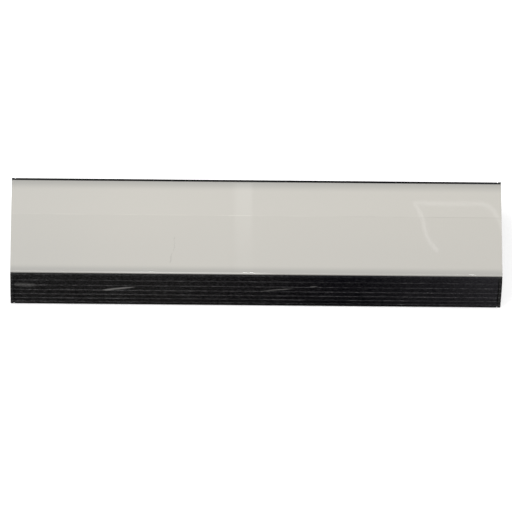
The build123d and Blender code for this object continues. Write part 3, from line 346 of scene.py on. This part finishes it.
MATERIALS = {
    "black_anodised": anodised_material(),
    "black_coated": coated_material(),
    "opal": opal_material(),
    "seal_rubber": moulded_material("seal_rubber", (0.020, 0.020, 0.020), rough=0.7, specular=0.2),
    "plain_aluminium": metal_material(
        "plain_aluminium", (0.70, 0.71, 0.73), rough=0.36, stretch=(60, 1, 1)
    ),
    "board_white": circuit_material("board_white", (0.78, 0.80, 0.79), (0.60, 0.64, 0.60)),
    "led_phosphor": moulded_material("led_phosphor", (0.80, 0.62, 0.12), rough=0.3),
    "reflector_white": moulded_material("reflector_white", (0.86, 0.86, 0.85), rough=0.35),
    "black_steel": metal_material(
        "black_steel", (0.045, 0.045, 0.048), rough=0.38, stretch=(1, 1, 1), metallic=0.8
    ),
    "bright_steel": metal_material("bright_steel", (0.60, 0.61, 0.62), rough=0.27),
    "supply_sheet": metal_material("supply_sheet", (0.58, 0.59, 0.60), rough=0.34, stretch=(3, 3, 1)),
    "circuit_green": circuit_material("circuit_green", (0.020, 0.13, 0.055), (0.08, 0.26, 0.11)),
    "window_glass": window_material(),
    "display_dark": moulded_material("display_dark", (0.012, 0.016, 0.020), rough=0.16, grain=0.4),
    "button_grey": moulded_material("button_grey", (0.11, 0.11, 0.115), rough=0.5),
    "inlet_plastic": moulded_material("inlet_plastic", (0.045, 0.085, 0.17), rough=0.42),
    "outlet_plastic": moulded_material("outlet_plastic", (0.26, 0.27, 0.28), rough=0.42),
    "contact_brass": metal_material("contact_brass", (0.62, 0.46, 0.20), rough=0.25),
    "black_plastic": moulded_material("black_plastic", (0.014, 0.014, 0.015), rough=0.48, specular=0.3),
    "cable_black": moulded_material(
        "cable_black", (0.016, 0.016, 0.017), rough=0.55, grain=1.2, specular=0.3
    ),
}

for subpart in frame["record"]["subparts"]:
    mesh = frame["nodes"][subpart["node"]].data
    mesh.materials.clear()
    mesh.materials.append(MATERIALS[subpart["material_slot"]])


# ---- floor, light and camera ---------------------------------------------------------------------
FLOOR_SIZE = 30  # metres
FLOOR_GLOW = 0.28  # lit a little from below, like a light table, so that shadows stay faint
SKY_LEVEL = 0.62
GROUND_LEVEL = 0.02
LAMPS = (  # name, place and size in metres, power in watts
    ("key", (-1.0, -0.6, 2.4), 1.25, 38.5),
    ("fill", (1.5, -0.4, 2.0), 1.2, 22),
)
MIDDLE = Vector((0, 0, 0.03))  # of the batten, where the lamps and the camera aim


def make_floor():
    """A plain pale floor under the batten."""
    bpy.ops.mesh.primitive_plane_add(size=FLOOR_SIZE, location=(0, 0, cad_box[0][2]))
    floor = bpy.context.object
    floor.name = "studio_floor"
    t = Tree("floor_white")
    tone = t.noise(0.004, detail=2.0)
    body = t.mix(t.ramp(tone, 0.3, 0.7), (0.93, 0.93, 0.93), (0.95, 0.95, 0.95))
    white = (1, 1, 1, 1)
    floor.data.materials.append(
        t.finish(body, 0.8, Specular_IOR_Level=0.0, Emission_Color=white, Emission_Strength=FLOOR_GLOW)
    )
    floor.visible_glossy = False  # reflections see the dim lower half of the surround instead


def make_light(name, place, size, power):
    """A soft square light that faces the batten. power is in watts."""
    lamp = bpy.data.lights.new(name, "AREA")
    lamp.shape = "SQUARE"
    lamp.size = size
    lamp.energy = power
    light = bpy.data.objects.new(name, lamp)
    light.location = place
    light.rotation_euler = (MIDDLE - Vector(place)).to_track_quat("-Z", "Y").to_euler()
    bpy.context.scene.collection.objects.link(light)
    return light


def make_world():
    """A white surround above the horizon, and a dim one below it that only reflections see."""
    world = bpy.data.worlds.new("surround")
    world.use_nodes = True
    tree = world.node_tree
    direction = tree.nodes.new("ShaderNodeTexCoord")
    split = tree.nodes.new("ShaderNodeSeparateXYZ")
    level = tree.nodes.new("ShaderNodeMapRange")
    level.interpolation_type = "SMOOTHSTEP"
    for socket, value in zip(level.inputs[1:5], (-0.10, 0.12, GROUND_LEVEL, SKY_LEVEL)):
        socket.default_value = value
    tree.links.new(direction.outputs["Generated"], split.inputs[0])
    tree.links.new(split.outputs["Z"], level.inputs[0])
    tree.links.new(level.outputs[0], tree.nodes["Background"].inputs["Strength"])
    tree.nodes["Background"].inputs["Color"].default_value = (1, 1, 1, 1)
    bpy.context.scene.world = world


# Angles in degrees, distances in metres, the lens in millimetres.
CAMERA_AZIMUTH = 1.585
CAMERA_ELEVATION = 59.15
CAMERA_ROLL = 1.878
CAMERA_DISTANCE = 9.0
CAMERA_LENS = 619.4
CAMERA_AIM_DROP = 0.0138  # how far below the batten's middle the view is centred


def make_camera():
    """A long lens, high in front of the near side."""
    data = bpy.data.cameras.new("camera")
    data.lens = CAMERA_LENS
    data.sensor_width = 36.0
    data.clip_end = 50.0
    camera = bpy.data.objects.new("camera", data)
    turn = Euler((math.radians(90 - CAMERA_ELEVATION), 0, -math.radians(CAMERA_AZIMUTH)), "XYZ")
    facing = turn.to_matrix()
    rolled = facing @ Euler((0, 0, math.radians(CAMERA_ROLL)), "XYZ").to_matrix()
    aim = MIDDLE - rolled.col[1] * CAMERA_AIM_DROP
    camera.location = aim + facing.col[2] * CAMERA_DISTANCE
    camera.rotation_euler = rolled.to_euler()
    bpy.context.scene.collection.objects.link(camera)
    bpy.context.scene.camera = camera
    return camera


def seen_on_face(x, y, height, camera):
    """Where something has to stand, height above the face, to be mirrored at (x, y) on it. Metres."""
    spot = Vector((x, y, cad_box[1][2]))
    ray = (spot - camera.location).normalized()
    ray.z = -ray.z
    return spot + ray * (height / ray.z)


def glow(name, strength, fades=()):
    """A white glow. fades are (axis, from, to, share): it starts at share of its strength, then is full."""
    t = Tree(name)
    level = strength
    for axis, start, end, share in fades:
        level = t.sum("MULTIPLY", level, t.ramp((t.x, t.y, t.z)[axis], start, end, share, 1.0))
    black, white = (0, 0, 0, 1), (1, 1, 1, 1)
    return t.finish(black, 1.0, Emission_Color=white, Emission_Strength=level, Specular_IOR_Level=0.0)


def only_in_reflections(obj):
    """Keeps a studio piece out of every ray but glossy ones."""
    obj.visible_camera = False
    obj.visible_diffuse = False
    obj.visible_transmission = False
    obj.visible_volume_scatter = False
    obj.visible_shadow = False


STRIP_X = (-0.0265, -0.0045)  # stretches of the face where the bright strip is mirrored, in metres
STRIP_Y = (-0.075, 0.075)
STRIP_HEIGHT = 0.40
STRIP_GLOW = 1.7
STRIP_FADE = 9.0  # millimetres over which its left edge comes up to full strength
STRIP_LEFT_SHARE = 0.36  # of full strength at its left edge
STRIP_NEAR_SHARE = 0.42  # of full strength at its near end
RIM_HEIGHT = 0.30
RIM_RADIUS = 0.0019
RIM_GLOW = 2.1
RIM = (  # points of the face where the lamp's rim is mirrored, in millimetres
    (184, -26),
    (178, -18),
    (173, -8),
    (171, 2),
    (170, 11),
    (166, 21),
    (161, 31),
    (175, 30.5),
    (204, 30),
    (229, 30.5),
    (236, 28.5),
    (241, 24),
    (245, 16),
    (249, 8),
    (251, -4),
)


SPARKLES = (  # where the near edge of the face has a glint, in metres along x, and its lamp's watts
    (-0.1090, 0.32),
    (-0.0065, 0.25),
    (0.2190, 0.13),
)
SPARKLE_WIDTH = 0.004
SPARKLE_LENGTH = 0.39
SPARKLE_DISTANCE = 1.0
SPARKLE_ELEVATION = math.radians(72)


def make_reflections(camera):
    """What the glossy face mirrors: a tall bright strip, and the bent rim of a lamp."""
    round_the_strip = ((0, 0), (1, 0), (1, 1), (0, 1))
    corners = [seen_on_face(STRIP_X[i], STRIP_Y[j], STRIP_HEIGHT, camera) for i, j in round_the_strip]
    mesh = bpy.data.meshes.new("strip_card")
    mesh.from_pydata(corners, [], [(0, 1, 2, 3)])
    strip = bpy.data.objects.new("strip_card", mesh)
    bpy.context.scene.collection.objects.link(strip)
    left, near = corners[0].x * 1000, corners[0].y * 1000
    far = corners[2].y * 1000
    fades = ((0, left, left + STRIP_FADE, STRIP_LEFT_SHARE), (1, near, far, STRIP_NEAR_SHARE))
    mesh.materials.append(glow("strip_glow", STRIP_GLOW, fades))
    only_in_reflections(strip)

    curve = bpy.data.curves.new("lamp_rim", "CURVE")
    curve.dimensions = "3D"
    curve.bevel_depth = RIM_RADIUS
    line = curve.splines.new("POLY")
    line.points.add(len(RIM) - 1)
    for point, (x, y) in zip(line.points, RIM):
        point.co = (*seen_on_face(x / 1000, y / 1000, RIM_HEIGHT, camera), 1)
    tube = bpy.data.objects.new("lamp_rim", curve)
    bpy.context.scene.collection.objects.link(tube)
    curve.materials.append(glow("rim_glow", RIM_GLOW))
    only_in_reflections(tube)


def make_sparkles(camera):
    """Narrow lamps high in front that only the opal face's gloss sees: its rounded near edge shows them."""
    lit = bpy.data.collections.new("lit_by_sparkles")
    for node in ("diffuser", "diffuser_end_left", "diffuser_end_right"):
        lit.objects.link(frame["nodes"][node])
    for number, (x, power) in enumerate(SPARKLES, start=1):
        glint = Vector((x, -FACE_HALF / 1000, cad_box[1][2]))
        sideways = (x - camera.location.x) / CAMERA_DISTANCE
        towards = Vector((sideways, -math.cos(SPARKLE_ELEVATION), math.sin(SPARKLE_ELEVATION)))
        place = glint + SPARKLE_DISTANCE * towards
        light = make_light(f"sparkle_{number}", place, SPARKLE_WIDTH, power)
        light.rotation_euler = (math.pi / 2 - SPARKLE_ELEVATION, 0, 0)
        light.data.shape = "RECTANGLE"
        light.data.size_y = SPARKLE_LENGTH
        light.visible_diffuse = False
        light.light_linking.receiver_collection = lit


make_floor()
make_world()
for name, place, size, power in LAMPS:
    make_light(name, place, size, power)
camera = make_camera()
make_reflections(camera)
make_sparkles(camera)
bpy.context.scene.view_settings.view_transform = "Standard"
